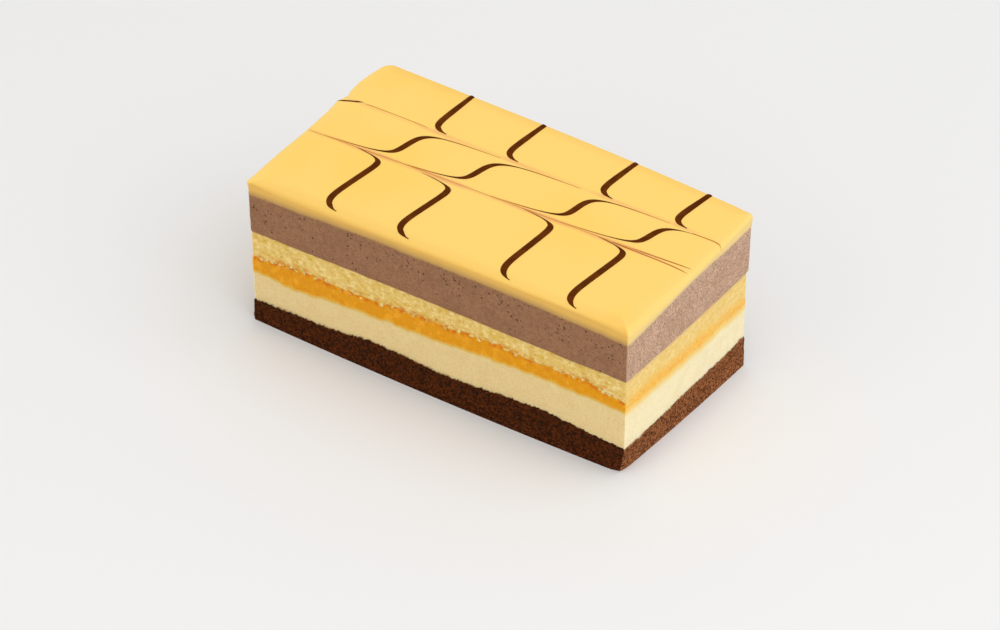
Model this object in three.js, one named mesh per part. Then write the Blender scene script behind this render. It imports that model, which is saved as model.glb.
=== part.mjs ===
// A cut slice of nougat layer cake, in millimetres, +Z up.
// X runs along the slice from its left end to its right end, the long front cut looks towards -Y,
// and the origin is on the table under the middle of the slice.

import * as THREE from 'three';

// The slice in plan: four straight cuts, a little wider at the left end
const sliceLength = 100;
const leftWidth = 52;
const rightWidth = 48.4;
const cornerRadius = { frontLeft: 2.4, frontRight: 2.6, backRight: 2.4, backLeft: 4.4 };
const cutBow = 0.3; // each cut swells outwards this much at its middle
const cornerSteps = 3;
const longSteps = 30;
const shortSteps = 25;

const glazeProud = 0.55; // the glaze hangs over the layers below it
const glazeEdgeRadius = 2.0; // and rolls over its upper edge
const glazeEdgeSteps = 4;

// The layers from the table up. Heights are of each layer's top at the four corners of the slice,
// swells are slow rises along the length, and proud is how far a cut side stands out of the plan.
const layers = [
  {
    name: 'cocoa_sponge',
    top: { frontLeft: 5.2, frontRight: 6.5, backRight: 7.9, backLeft: 6.4 },
    swells: [{ x: -15, rise: 1.6, spread: 13 }, { x: 28, rise: 1.5, spread: 13 }],
    proud: 0.15,
    colour: '#41200f',
    roughness: 0.95,
  },
  {
    name: 'cream_filling',
    top: { frontLeft: 13.4, frontRight: 17.1, backRight: 16.8, backLeft: 14.2 },
    swells: [
      { x: -41, rise: -0.7, spread: 8 },
      { x: -11, rise: -0.5, spread: 6 },
      { x: 25, rise: 0.8, spread: 15 },
    ],
    proud: -0.15,
    colour: '#e9d7a0',
    roughness: 0.6,
  },
  {
    name: 'fruit_jam',
    top: { frontLeft: 17.0, frontRight: 19.2, backRight: 19.0, backLeft: 17.3 },
    swells: [{ x: 12, rise: 1.7, spread: 30 }],
    proud: -0.1,
    colour: '#e59a22',
    roughness: 0.3,
  },
  {
    name: 'light_sponge',
    top: { frontLeft: 24.2, frontRight: 25.1, backRight: 26.1, backLeft: 25.4 },
    swells: [{ x: 12, rise: 0.4, spread: 26 }],
    proud: -0.35,
    colour: '#e6cc78',
    roughness: 0.9,
  },
  {
    name: 'nougat_mousse',
    top: { frontLeft: 34.2, frontRight: 34.7, backRight: 37.6, backLeft: 38.3 },
    swells: [{ x: 5, rise: 0.7, spread: 32 }],
    proud: 0.35,
    colour: '#9c755c',
    roughness: 0.8,
  },
  {
    name: 'yellow_glaze',
    top: { frontLeft: 37.8, frontRight: 38.4, backRight: 40.7, backLeft: 41.9 },
    swells: [],
    proud: glazeProud,
    colour: '#f8cf6c',
    roughness: 0.3,
  },
];
const seamHeight = 0.5; // a side reaches its full stand-out this far above and below a seam
const swellDrift = 14; // a swell moves this far along X from the front cut to the back cut

// The cocoa sponge spreads a little on the table and its lower edge is worn round
const footBow = 0.8;
const footHeight = 1.3;
const footInset = 0.4;
const wornCorner = { inset: 1.5, spread: 3.2 };

// At the left end the skewer drew out a small tongue of glaze, and the glaze behind it bulges
const leftEndReach = [
  { y: 3, reach: 0.3, spread: 8 },
  { y: 8.6, reach: 1.0, spread: 1.3 },
  { y: 18, reach: 0.8, spread: 4.5 },
];

// Four piped chocolate lines, from the back cut to the front cut, feathered by three skewer drags
const chocolateLines = [
  { backX: -26.8, frontX: -31.5, trailLength: 11 },
  { backX: -6.5, frontX: -12.2, trailLength: 11 },
  { backX: 18.7, frontX: 15.1, trailLength: 9 },
  { backX: 38.5, frontX: 32.6, trailLength: 6 },
];
const lineWidth = 1.35;
const lineRise = 0.25;
const lineSway = 0.12;
const thinnestTrail = 0.3;
const lineSteps = 26;
const lineEndGap = 0.3; // a line stops this far short of the glaze's rolled edge

// A drag pulls the chocolate along it: a long trail on one side of the skewer, a short hook on the other
const trailReach = 77;
const trailFade = 0.151;
const trail = {
  pull: (distance) => trailReach * Math.exp(-Math.sqrt(distance / trailFade)),
  gap: (line) => trailFade * Math.log(trailReach / line.trailLength) ** 2,
};
const hookGap = 0.2;
const hook = (reach, fade) => ({
  pull: (distance) => reach * Math.exp(-distance / fade),
  gap: () => hookGap,
});
const still = { pull: () => 0, gap: () => 0 };

// The back end of the lines and the three drags, from back to front: their heights in plan at the two ends
// of the slice, the way they pull, and what they do to the chocolate behind them and before them
const rollInset = glazeEdgeRadius - glazeProud + lineEndGap;
const backEnd = {
  leftY: leftWidth / 2 - rollInset,
  rightY: rightWidth / 2 - rollInset,
  way: 0,
  before: still,
};
const rearDrag = {
  leftY: 11.1,
  rightY: 12.0,
  way: 1,
  behind: hook(4, 0.9),
  before: trail,
};
const middleDrag = {
  leftY: -3.9,
  rightY: 0.4,
  way: -1,
  behind: trail,
  before: hook(6, 0.65),
};
const frontDrag = {
  leftY: -24.3,
  rightY: -22.6,
  way: 1,
  behind: hook(3.6, 1.2),
};
const bands = [[backEnd, rearDrag], [rearDrag, middleDrag], [middleDrag, frontDrag]];

const lerp = THREE.MathUtils.lerp;
const bell = (distance, spread) => Math.exp(-((distance / spread) ** 2));

// 0 at the left end and 1 at the right end
function alongSlice(x) {
  return x / sliceLength + 0.5;
}

function halfWidth(x) {
  return lerp(leftWidth, rightWidth, alongSlice(x)) / 2;
}

// 0 at the front cut and 1 at the back cut
function acrossSlice(x, y) {
  return y / halfWidth(x) / 2 + 0.5;
}

// Height of a layer's top surface above the table
function layerTop(layer, x, y) {
  const u = alongSlice(x);
  const v = acrossSlice(x, y);
  const front = lerp(layer.top.frontLeft, layer.top.frontRight, u);
  const back = lerp(layer.top.backLeft, layer.top.backRight, u);
  const swell = layer.swells.reduce(
    (sum, { x: centre, rise, spread }) => sum + rise * bell(x - centre - swellDrift * v, spread),
    0,
  );
  return lerp(front, back, v) + swell;
}

// The plan as a closed run of points with their outward directions, counter-clockwise from the front left
function makePlan() {
  const corners = [
    { at: [-sliceLength / 2, -leftWidth / 2], radius: cornerRadius.frontLeft },
    { at: [sliceLength / 2, -rightWidth / 2], radius: cornerRadius.frontRight },
    { at: [sliceLength / 2, rightWidth / 2], radius: cornerRadius.backRight },
    { at: [-sliceLength / 2, leftWidth / 2], radius: cornerRadius.backLeft },
  ].map(({ at, radius }) => ({ at: new THREE.Vector2(...at), radius }));

  const points = [];
  corners.forEach((corner, i) => {
    const before = corners[(i + 3) % 4];
    const after = corners[(i + 1) % 4];
    const towardsBefore = before.at.clone().sub(corner.at).normalize();
    const towardsAfter = after.at.clone().sub(corner.at).normalize();
    const turn = new THREE.QuadraticBezierCurve(
      corner.at.clone().addScaledVector(towardsBefore, corner.radius),
      corner.at,
      corner.at.clone().addScaledVector(towardsAfter, corner.radius),
    );
    points.push(...turn.getPoints(cornerSteps));

    const cutStart = turn.v2;
    const cutEnd = after.at.clone().addScaledVector(towardsAfter, -after.radius);
    const steps = i % 2 === 0 ? longSteps : shortSteps;
    const outwards = new THREE.Vector2(towardsAfter.y, -towardsAfter.x);
    for (let step = 1; step < steps; step++) {
      const t = step / steps;
      const bow = cutBow * 4 * t * (1 - t);
      points.push(cutStart.clone().lerp(cutEnd, t).addScaledVector(outwards, bow));
    }
  });

  return points.map((point, i) => {
    const previous = points[(i + points.length - 1) % points.length];
    const next = points[(i + 1) % points.length];
    const along = next.clone().sub(previous).normalize();
    return { x: point.x, y: point.y, outX: along.y, outY: -along.x };
  });
}

const plan = makePlan();

// A ring of points round the plan, with the stand-out and the height given at each point
function makeRing(standOut, height) {
  return plan.map((point) => {
    const out = standOut(point);
    const x = point.x + point.outX * out;
    const y = point.y + point.outY * out;
    return [x, y, height(point.x, point.y)];
  });
}

// A closed surface put together from runs of points
class Shell {
  points = [];
  triangles = [];

  // Adds a run of points and returns their numbers
  addRun(run) {
    const first = this.points.length;
    this.points.push(...run);
    return run.map((_, i) => first + i);
  }

  // A closed strip from one run up to another
  addStrip(low, high) {
    low.forEach((a, i) => {
      const next = (i + 1) % low.length;
      this.triangles.push([a, low[next], high[i]], [low[next], high[next], high[i]]);
    });
  }

  // A lid that fans out from the middle of a run
  addFan(run, facing) {
    const sum = new THREE.Vector3();
    run.forEach((i) => sum.add(new THREE.Vector3(...this.points[i])));
    const [middle] = this.addRun([sum.divideScalar(run.length).toArray()]);
    run.forEach((a, i) => {
      const b = run[(i + 1) % run.length];
      this.triangles.push(facing > 0 ? [middle, a, b] : [middle, b, a]);
    });
  }

  // An upward lid inside a run, open where the other runs are
  addSkin(run, openings) {
    const inPlan = (numbers) => numbers.map((i) => new THREE.Vector2(...this.points[i]));
    const numbers = [...run, ...openings.flat()];
    const faces = THREE.ShapeUtils.triangulateShape(inPlan(run), openings.map(inPlan));
    faces.forEach((face) => {
      const [a, b, c] = face.map((i) => numbers[i]);
      const facesUp = THREE.ShapeUtils.area(inPlan([a, b, c])) > 0;
      this.triangles.push(facesUp ? [a, b, c] : [a, c, b]);
    });
  }

  toGeometry() {
    const geometry = new THREE.BufferGeometry();
    geometry.setAttribute('position', new THREE.Float32BufferAttribute(this.points.flat(), 3));
    geometry.setIndex(this.triangles.flat());
    return geometry;
  }
}

// A shell with rings stacked upwards and a lid underneath, and the numbers of its last ring
function stackRings(rings) {
  const shell = new Shell();
  const runs = rings.map((ring) => shell.addRun(ring));
  shell.addFan(runs[0], -1);
  for (let i = 1; i < runs.length; i++) {
    shell.addStrip(runs[i - 1], runs[i]);
  }
  return { shell, rim: runs[runs.length - 1] };
}

function stackLayer(rings) {
  const { shell, rim } = stackRings(rings);
  shell.addFan(rim, 1);
  return shell.toGeometry();
}

const flush = () => 0;

// How far the cocoa sponge's front side bows out along its length
function frontBow(point) {
  const facesFront = Math.max(0, -point.outY);
  return footBow * facesFront * (1 - (2 * point.x / sliceLength) ** 2);
}

// How far the near right corner of the cocoa sponge is worn away
function wornAway(point) {
  const distance = Math.hypot(point.x - sliceLength / 2, point.y + rightWidth / 2);
  return wornCorner.inset * bell(distance, wornCorner.spread);
}

function makeCocoaSponge(layer) {
  const top = (x, y) => layerTop(layer, x, y);
  return stackLayer([
    makeRing((p) => frontBow(p) - footInset - wornAway(p), () => 0),
    makeRing((p) => layer.proud + frontBow(p) - wornAway(p) / 3, () => footHeight),
    makeRing((p) => layer.proud + frontBow(p) / 3, (x, y) => top(x, y) - seamHeight),
    makeRing(flush, top),
  ]);
}

function makeFilling(layer, layerBelow) {
  const bottom = (x, y) => layerTop(layerBelow, x, y);
  const top = (x, y) => layerTop(layer, x, y);
  const side = () => layer.proud;
  return stackLayer([
    makeRing(flush, bottom),
    makeRing(side, (x, y) => bottom(x, y) + seamHeight),
    makeRing(side, (x, y) => top(x, y) - seamHeight),
    makeRing(flush, top),
  ]);
}

// The glaze's side: an even overhang, drawn out further at the left end
function glazeSide(layer, point) {
  const facesLeft = Math.max(0, -point.outX);
  const drawnOut = leftEndReach.reduce(
    (sum, { y, reach, spread }) => sum + reach * bell(point.y - y, spread),
    0,
  );
  return layer.proud + facesLeft * drawnOut;
}

function glazeRings(layer, layerBelow) {
  const bottom = (x, y) => layerTop(layerBelow, x, y);
  const top = (x, y) => layerTop(layer, x, y);
  const side = (point) => glazeSide(layer, point);
  const rings = [
    makeRing(flush, bottom),
    makeRing(side, (x, y) => bottom(x, y) + seamHeight),
  ];
  for (let step = 0; step <= glazeEdgeSteps; step++) {
    const angle = step / glazeEdgeSteps * Math.PI / 2;
    const inset = glazeEdgeRadius * (1 - Math.cos(angle));
    const drop = glazeEdgeRadius * (1 - Math.sin(angle));
    rings.push(makeRing((point) => side(point) - inset, (x, y) => top(x, y) - drop));
  }
  return rings;
}

function dragY(drag, x) {
  return lerp(drag.leftY, drag.rightY, alongSlice(x));
}

function dragSlope(drag) {
  return (drag.rightY - drag.leftY) / sliceLength;
}

// The run of one piped line between two drags: it leans and sways, and the drags pull its ends along X
function lineCentre(line, upper, lower) {
  const startX = lerp(line.frontX, line.backX, 0.5);
  const upperY = dragY(upper, startX);
  const lowerY = dragY(lower, startX);
  return Array.from({ length: lineSteps + 1 }, (_, i) => {
    const ease = (1 - Math.cos(Math.PI * i / lineSteps)) / 2;
    const y = lerp(upperY - upper.before.gap(line), lowerY + lower.behind.gap(line), ease);
    const leanX = lerp(line.frontX, line.backX, acrossSlice(startX, y));
    const swayX = lineSway * Math.sin(Math.PI * ease);
    const pull = upper.way * upper.before.pull(upperY - y) + lower.way * lower.behind.pull(y - lowerY);
    const slope = lerp(dragSlope(upper), dragSlope(lower), ease);
    return new THREE.Vector2(leanX - swayX + pull, y + slope * pull);
  });
}

// The plan outline of that run, counter-clockwise; where it is pulled flat it keeps a least thickness
function lineOutline(centre) {
  const left = [];
  const right = [];
  centre.forEach((point, i) => {
    const before = centre[Math.max(i - 1, 0)];
    const after = centre[Math.min(i + 1, centre.length - 1)];
    const heading = after.clone().sub(before).normalize();
    const width = Math.max(thinnestTrail / Math.abs(heading.y), lineWidth);
    left.push([point.x - width / 2, point.y]);
    right.push([point.x + width / 2, point.y]);
  });
  return [...left, ...right.reverse()];
}

// The glaze with the chocolate lines standing on its skin as low ribs
function makeGlaze(layer, layerBelow) {
  const { shell, rim } = stackRings(glazeRings(layer, layerBelow));
  const outlines = chocolateLines.flatMap((line) => (
    bands.map(([upper, lower]) => lineOutline(lineCentre(line, upper, lower)))
  ));
  const feet = outlines.map((outline) => {
    const atHeight = (rise) => outline.map(([x, y]) => [x, y, layerTop(layer, x, y) + rise]);
    const foot = shell.addRun(atHeight(0));
    const crest = shell.addRun(atHeight(lineRise));
    shell.addStrip(foot, crest);
    shell.addSkin(crest, []);
    return foot;
  });
  shell.addSkin(rim, feet);
  return shell.toGeometry();
}

function makeLayer(layer, i) {
  if (i === 0) return makeCocoaSponge(layer);
  if (i === layers.length - 1) return makeGlaze(layer, layers[i - 1]);
  return makeFilling(layer, layers[i - 1]);
}

const slice = new THREE.Group();
layers.forEach((layer, i) => {
  const geometry = makeLayer(layer, i);
  geometry.computeVertexNormals();
  const material = new THREE.MeshStandardMaterial({
    color: layer.colour,
    roughness: layer.roughness,
    metalness: 0,
  });
  const mesh = new THREE.Mesh(geometry, material);
  mesh.name = layer.name;
  slice.add(mesh);
});

// The origin is under the middle of the slice's outer box
const middle = new THREE.Box3().setFromObject(slice).getCenter(new THREE.Vector3());
slice.position.set(-middle.x, -middle.y, 0);

export default slice;
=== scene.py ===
import math

import bpy
import numpy as np
from mathutils import Matrix, Vector


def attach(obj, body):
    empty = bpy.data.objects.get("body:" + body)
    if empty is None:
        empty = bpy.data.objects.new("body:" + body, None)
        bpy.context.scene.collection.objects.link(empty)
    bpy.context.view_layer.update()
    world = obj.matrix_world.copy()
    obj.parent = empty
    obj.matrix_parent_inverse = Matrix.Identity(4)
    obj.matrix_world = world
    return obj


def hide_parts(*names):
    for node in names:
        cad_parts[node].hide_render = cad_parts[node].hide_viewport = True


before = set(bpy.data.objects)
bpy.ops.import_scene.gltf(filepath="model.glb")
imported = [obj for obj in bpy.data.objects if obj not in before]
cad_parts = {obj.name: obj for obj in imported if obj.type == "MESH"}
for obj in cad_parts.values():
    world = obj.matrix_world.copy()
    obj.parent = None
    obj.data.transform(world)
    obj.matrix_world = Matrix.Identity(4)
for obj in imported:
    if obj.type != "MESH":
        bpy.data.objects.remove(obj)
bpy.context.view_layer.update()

mm = 0.001

# the slice in plan, in millimetres: four nearly straight cuts, a little wider at the left end
sliceForm = dict(
    length=100,
    leftWidth=52,
    rightWidth=48.4,
    cornerRadius=(0.6, 0.4, 0.4, 2.1),  # front left, front right, back right, back left
    cutBow=0.3,  # each cut swells outwards at its middle
    swellDrift=14,  # a swell in a layer moves along X from front to back
    mesh=(440, 220, 8),  # steps along a long cut, along an end cut and round a corner
    closeIn=(2.4, 5.0),  # insets of the rings that close a layer below and above
    insetRounding=0.5,  # how much rounder a corner gets as the plan is drawn in
    mostRounding=0.4,  # a corner's largest share of the shortest side
    endFade=0.6,  # way along X in which relief goes over to that of an end cut
    endTurn=(0.25, 0.8),  # how far a face turns to an end as its colour goes from the long cuts' painted shade to the end's painted light
    smoothAngle=60,  # rims sharper than this stay sharp, in degrees
    originX=0.53,  # where the frame has the middle of the slice
    originY=0.03,
)
halfLength = sliceForm["length"] / 2


# shapes and numbers that all the pieces use

def lerp(a, b, t):
    return a + (b - a) * t


def bell(distance, spread):
    return np.exp(-(distance / spread) ** 2)


def smoothStep(t):
    t = np.clip(t, 0, 1)
    return t * t * (3 - 2 * t)


def alongSlice(x):
    return x / sliceForm["length"] + 0.5


def halfWidth(x):
    return lerp(sliceForm["leftWidth"], sliceForm["rightWidth"], alongSlice(x)) / 2


def acrossSlice(x, y):
    return y / halfWidth(x) / 2 + 0.5


def layerTop(layer, x, y):
    frontLeft, frontRight, backRight, backLeft = layer["top"]
    u, v = alongSlice(x), acrossSlice(x, y)
    height = lerp(lerp(frontLeft, frontRight, u), lerp(backLeft, backRight, u), v)
    for centre, rise, spread in layer["swells"]:
        height = height + rise * bell(x - centre - sliceForm["swellDrift"] * v, spread)
    for centreX, centreY, rise, spreadX, spreadY in layer.get("mounds", ()):
        height = height + rise * bell(x - centreX, spreadX) * bell(y - centreY, spreadY)
    return height


def toMetres(points):
    return (points + (sliceForm["originX"], sliceForm["originY"], 0)) * mm


# a repeatable number from 0 to 1 for each cell of a grid
def cellNumber(cells, seed):
    x, y, z = (cells[..., i].astype(np.int64) for i in range(3))
    mixed = (x * 374761393 + y * 668265263 + z * 1440662683 + seed * 1013904223) & 0xffffffff
    mixed = ((mixed ^ (mixed >> 13)) * 1274126177) & 0xffffffff
    return (mixed ^ (mixed >> 16)) / 0xffffffff


# smooth lumps about as large as size, from -1 to 1
def softNoise(points, size, seed):
    place = points / size
    cells = np.floor(place)
    part = place - cells
    part = part * part * (3 - 2 * part)
    total = 0
    for corner in np.ndindex(2, 2, 2):
        weight = np.prod(np.where(corner, part, 1 - part), axis=-1)
        total = total + weight * cellNumber(cells + corner, seed)
    return total * 2 - 1


def roughNoise(points, size, seed, octaves):
    return sum(softNoise(points, np.array(size) / 2 ** i, seed + i) / 2 ** i for i in range(octaves))


# distance to the nearest bubble centre, in bubble sizes, and that bubble's own number
def bubbleNoise(points, size, seed):
    place = points / size
    cells = np.floor(place)
    nearest = np.full(len(place), np.inf)
    mark = np.zeros(len(place))
    for step in np.ndindex(3, 3, 3):
        neighbour = cells + step - 1
        jitter = np.stack([cellNumber(neighbour, seed + i) for i in range(3)], axis=-1)
        distance = np.linalg.norm(place - neighbour - jitter, axis=-1)
        closer = distance < nearest
        nearest = np.where(closer, distance, nearest)
        mark = np.where(closer, cellNumber(neighbour, seed + 3), mark)
    return nearest, mark


# the plan drawn in by inset, counter-clockwise from the front left corner, with outward directions
def planRun(longSteps, shortSteps, cornerSteps, inset=0.0):
    half = halfLength - inset
    left, right = halfWidth(-half) - inset, halfWidth(half) - inset
    corners = np.array([(-half, -left), (half, -right), (half, right), (-half, left)])
    shortest = 2 * min(half, left, right)
    rounding, mostRadius = sliceForm["insetRounding"] * inset, sliceForm["mostRounding"] * shortest
    radii = [min(radius + rounding, mostRadius) for radius in sliceForm["cornerRadius"]]
    bow = sliceForm["cutBow"] * shortest / sliceForm["rightWidth"]
    points = []
    for i, corner in enumerate(corners):
        before, after = corners[i - 1], corners[(i + 1) % 4]
        toBefore = (before - corner) / np.linalg.norm(before - corner)
        toAfter = (after - corner) / np.linalg.norm(after - corner)
        start, end = corner + toBefore * radii[i], corner + toAfter * radii[i]
        t = np.linspace(0, 1, cornerSteps + 1)[:, None]
        points.append(start * (1 - t) ** 2 + corner * 2 * t * (1 - t) + end * t ** 2)
        steps = shortSteps if i % 2 else longSteps
        t = np.arange(1, steps)[:, None] / steps
        outwards = np.array((toAfter[1], -toAfter[0]))
        points.append(lerp(end, after - toAfter * radii[(i + 1) % 4], t) + outwards * bow * 4 * t * (1 - t))
    points = np.concatenate(points)
    along = np.roll(points, -1, axis=0) - np.roll(points, 1, axis=0)
    along /= np.linalg.norm(along, axis=1)[:, None]
    return points, np.stack([along[:, 1], -along[:, 0]], axis=1)


# a plain tube of even rings, shut at both ends, to be shaped afterwards
def raiseTube(name, around, rings):
    bpy.ops.object.select_all(action="DESELECT")
    bpy.ops.mesh.primitive_circle_add(vertices=around, radius=1)
    piece = bpy.context.object
    piece.name = piece.data.name = name
    bpy.ops.object.mode_set(mode="EDIT")
    bpy.ops.mesh.select_all(action="SELECT")
    for ring in range(rings - 1):
        bpy.ops.mesh.extrude_region_move(TRANSFORM_OT_translate={"value": (0, 0, 1)})
    bpy.ops.mesh.edge_face_add()  # upper lid
    bpy.ops.mesh.select_all(action="DESELECT")
    bpy.ops.mesh.select_non_manifold(use_wire=False, use_multi_face=False, use_non_contiguous=False,
                                     use_verts=False)
    bpy.ops.mesh.edge_face_add()  # lower lid
    bpy.ops.mesh.select_all(action="SELECT")
    bpy.ops.mesh.normals_make_consistent(inside=False)
    bpy.ops.object.mode_set(mode="OBJECT")
    return piece


def readPoints(mesh):
    flat = np.empty(len(mesh.vertices) * 3)
    mesh.vertices.foreach_get("co", flat)
    return flat.reshape(-1, 3)


def keepValue(mesh, name, values):
    attribute = mesh.attributes.new(name, "FLOAT", "POINT")
    attribute.data.foreach_set("value", values.astype(np.float32))


# moves the rings of a tube to their places in millimetres, and keeps named values on its points
def shapeTube(piece, rings, **values):
    mesh = piece.data
    tube = readPoints(mesh)
    ring = np.rint(tube[:, 2]).astype(int)
    turn = np.arctan2(tube[:, 1], tube[:, 0]) / (2 * math.pi)
    step = np.rint(turn * rings.shape[1]).astype(int) % rings.shape[1]
    mesh.vertices.foreach_set("co", toMetres(rings[ring, step]).ravel())
    for name, value in values.items():
        keepValue(mesh, name, np.broadcast_to(value, rings.shape[:2])[ring, step])
    mesh.update()
    bpy.ops.object.shade_smooth_by_angle(angle=math.radians(sliceForm["smoothAngle"]))


def handOver(piece, node, material):
    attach(piece, "root")
    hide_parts(node)
    piece.data.materials.append(material)
    print("made", piece.name, len(piece.data.vertices), "points")


# 1 on the two end cuts, 0 on the two long cuts, in between round the corners
def facingEnd(out):
    return np.abs(out[:, 0])


# the ragged line where a layer meets the one above it
def seamHeight(layer, x, y):
    height = layerTop(layer, x, y)
    place = np.stack([x, y, np.zeros_like(x)], axis=-1)
    for i, (size, rise) in enumerate(layer["ragged"]):
        height = height + rise * softNoise(place, size, layer["seed"] + i)
    return height


# relief of a layer's cut faces: how far each point stands out, and how deep it lies in a pore
# each entry is its rise on the long cuts and on the end cuts, then its size, seed and octaves
def cutRelief(layer, points):
    intoEnd = np.abs(points[:, 0]) - layer.get("endFrom", halfLength)
    endCut = smoothStep(intoEnd / sliceForm["endFade"])
    push = sum(lerp(rise, endRise, endCut) * roughNoise(points, size, seed, octaves)
               for rise, endRise, size, seed, octaves in layer["relief"])
    pore = np.zeros(len(points))
    if "pores" in layer:
        p = layer["pores"]
        nearest, mark = bubbleNoise(points, np.array(p["size"]), p["seed"])
        pore = np.clip(1 - nearest / lerp(p["smallest"], p["largest"], mark), 0, 1)
        pore = pore * lerp(1, p["endShare"], endCut)
        push = push - p["depth"] * pore
    return push, pore


# values for the wall rings, with one row kept for the rings that close in below and above
def withLids(value, first, last, count):
    return np.concatenate([np.tile(first, (count, 1)), value, np.tile(last, (count, 1))])


# one layer: wall rings between two seams, then rings that close in over and under it
def makeLayer(layer, below, material, sideOut=None):
    steps = sliceForm["mesh"]
    plan, out = planRun(*steps)
    x, y = plan.T
    low = seamHeight(below, x, y) if below else np.zeros_like(x)
    high = seamHeight(layer, x, y)
    z = lerp(low, high, np.linspace(0, 1, layer["rings"])[:, None])
    lowLip = 1 - smoothStep((z - low) / layer["lip"])
    highLip = 1 - smoothStep((high - z) / layer["lip"])
    stand = layer["proud"] + (layer["lowStand"] - layer["proud"]) * lowLip
    stand = stand + (layer["highStand"] - layer["proud"]) * highLip
    leftStand, rightStand = layer["endStand"]
    stand = stand + leftStand * np.clip(-out[:, 0], 0, 1) + rightStand * np.clip(out[:, 0], 0, 1)
    wall = np.stack([x + out[:, 0] * stand, y + out[:, 1] * stand, z], axis=-1)
    if sideOut:
        wall[..., :2] += sideOut(x, y, z, out)
    push, pore = cutRelief(layer, wall.reshape(-1, 3))
    calmLow, calmHigh = layer["calm"]
    push = push.reshape(z.shape) * (1 - calmLow * lowLip) * (1 - calmHigh * highLip)
    wall[..., :2] += out * push[..., None]
    lids = [planRun(*steps, inset)[0] for inset in sliceForm["closeIn"]]
    rings = np.concatenate([[np.column_stack([lid, low]) for lid in lids[::-1]], wall,
                            [np.column_stack([lid, high]) for lid in lids]])
    none, whole, count = np.zeros_like(x), high - low, len(lids)
    piece = raiseTube(layer["name"], len(x), len(rings))
    shapeTube(piece, rings, endward=facingEnd(out),
              pore=withLids(pore.reshape(z.shape), none, none, count),
              fromLow=withLids(z - low, none, whole, count),
              fromHigh=withLids(high - z, whole, none, count))
    handOver(piece, layer["node"], material)


# material helpers

def rgb(red, green, blue):
    channels = [c / 255 for c in (red, green, blue)]
    return tuple(c / 12.92 if c <= 0.04045 else ((c + 0.055) / 1.055) ** 2.4 for c in channels) + (1.0,)


def newMaterial(name, **sockets):
    material = bpy.data.materials.new(name)
    material.use_nodes = True
    tree = material.node_tree
    shader = tree.nodes["Principled BSDF"]
    for socket, value in sockets.items():
        shader.inputs[socket.replace("_", " ")].default_value = value
    return material, tree, shader


def addNode(tree, kind, inputs, output, **settings):
    node = tree.nodes.new("ShaderNode" + kind)
    for key, value in settings.items():
        setattr(node, key, value)
    for key, value in inputs.items():
        if isinstance(value, bpy.types.NodeSocket):
            tree.links.new(value, node.inputs[key])
        else:
            node.inputs[key].default_value = value
    return node.outputs[output]


# a piece's material with its surface set, and the place that its patterns are laid on
def pieceMaterial(piece):
    material, tree, shader = newMaterial(piece["name"], **piece["surface"])
    return material, tree, shader, addNode(tree, "TexCoord", {}, "Object")


def pointValue(tree, name):
    return addNode(tree, "Attribute", {}, "Fac", attribute_name=name)


# noise with lumps about size millimetres across
def grain(tree, place, size, detail=2.0, roughness=0.5):
    return addNode(tree, "TexNoise", {"Vector": place, "Scale": 1 / (size * mm), "Detail": detail,
                                      "Roughness": roughness}, "Fac")


def stretch(tree, place, x, y, z):
    return addNode(tree, "Mapping", {"Vector": place, "Scale": (x, y, z)}, "Vector")


def remap(tree, value, low, high, toLow=0.0, toHigh=1.0):
    inputs = {"Value": value, "From Min": low, "From Max": high, "To Min": toLow, "To Max": toHigh}
    return addNode(tree, "MapRange", inputs, "Result", interpolation_type="SMOOTHSTEP")


# patches of noise: nothing at the noise value start, full strength at the value whole
def patches(tree, place, size, start, whole, strength=1.0, detail=2.0, roughness=0.5):
    return remap(tree, grain(tree, place, size, detail, roughness), start, whole, 0, strength)


def combine(tree, operation, a, b):
    return addNode(tree, "Math", {0: a, 1: b}, "Value", operation=operation)


def mixColour(tree, factor, a, b):
    return addNode(tree, "Mix", {0: factor, 6: a, 7: b}, 2, data_type="RGBA")


# rounded grains: distance from the middle of each in grain sizes, and a number of its own from 0 to 1
def grains(tree, place, size):
    inputs = {"Vector": place, "Scale": 1 / (size * mm)}
    distance = addNode(tree, "TexVoronoi", inputs, "Distance")
    mark = addNode(tree, "TexVoronoi", inputs, "Color")
    return distance, addNode(tree, "SeparateColor", {0: mark}, 0)


# pinholes: 1 in the middle of each, in a share of the grains
def pinholes(tree, place, spacing, radius, share):
    distance, mark = grains(tree, place, spacing)
    core = 0.4 * radius  # deep all the way inside this
    hole = remap(tree, distance, radius / spacing, core / spacing)
    return combine(tree, "MULTIPLY", hole, combine(tree, "LESS_THAN", mark, share))


# how far a point is on an end cut, for a layer's two tones, its shaded copy on the long cuts and its lit
# copy on the ends, and for patterns that differ there
def endTone(tree):
    return remap(tree, pointValue(tree, "endward"), *sliceForm["endTurn"])


# a pattern that is stronger or weaker on the end cuts
def byCut(tree, pattern, end, onLong, onEnd):
    return combine(tree, "MULTIPLY", pattern, remap(tree, end, 0, 1, onLong, onEnd))


# a layer's colour: painted shade on the long cuts going over to painted light on the end cuts
def shadedAndLitTone(tree, layer):
    return mixColour(tree, endTone(tree), layer["colour"], layer["litEndColour"])


# tints a layer towards its neighbour near a seam, over one width on the long cuts and another on the ends
def seamBlend(tree, colour, distance, neighbour, longWidth, endWidth, share=0.5):
    width = remap(tree, pointValue(tree, "endward"), *sliceForm["endTurn"], longWidth, endWidth)
    part = combine(tree, "DIVIDE", pointValue(tree, distance), width)
    return mixColour(tree, remap(tree, part, 0, 1, share, 0), colour, shadedAndLitTone(tree, neighbour))


def finish(tree, shader, colour, height, depth, strength):
    inputs = {"Height": height, "Distance": depth * mm, "Strength": strength}
    tree.links.new(colour, shader.inputs["Base Color"])
    tree.links.new(addNode(tree, "Bump", inputs, "Normal"), shader.inputs["Normal"])
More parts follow.
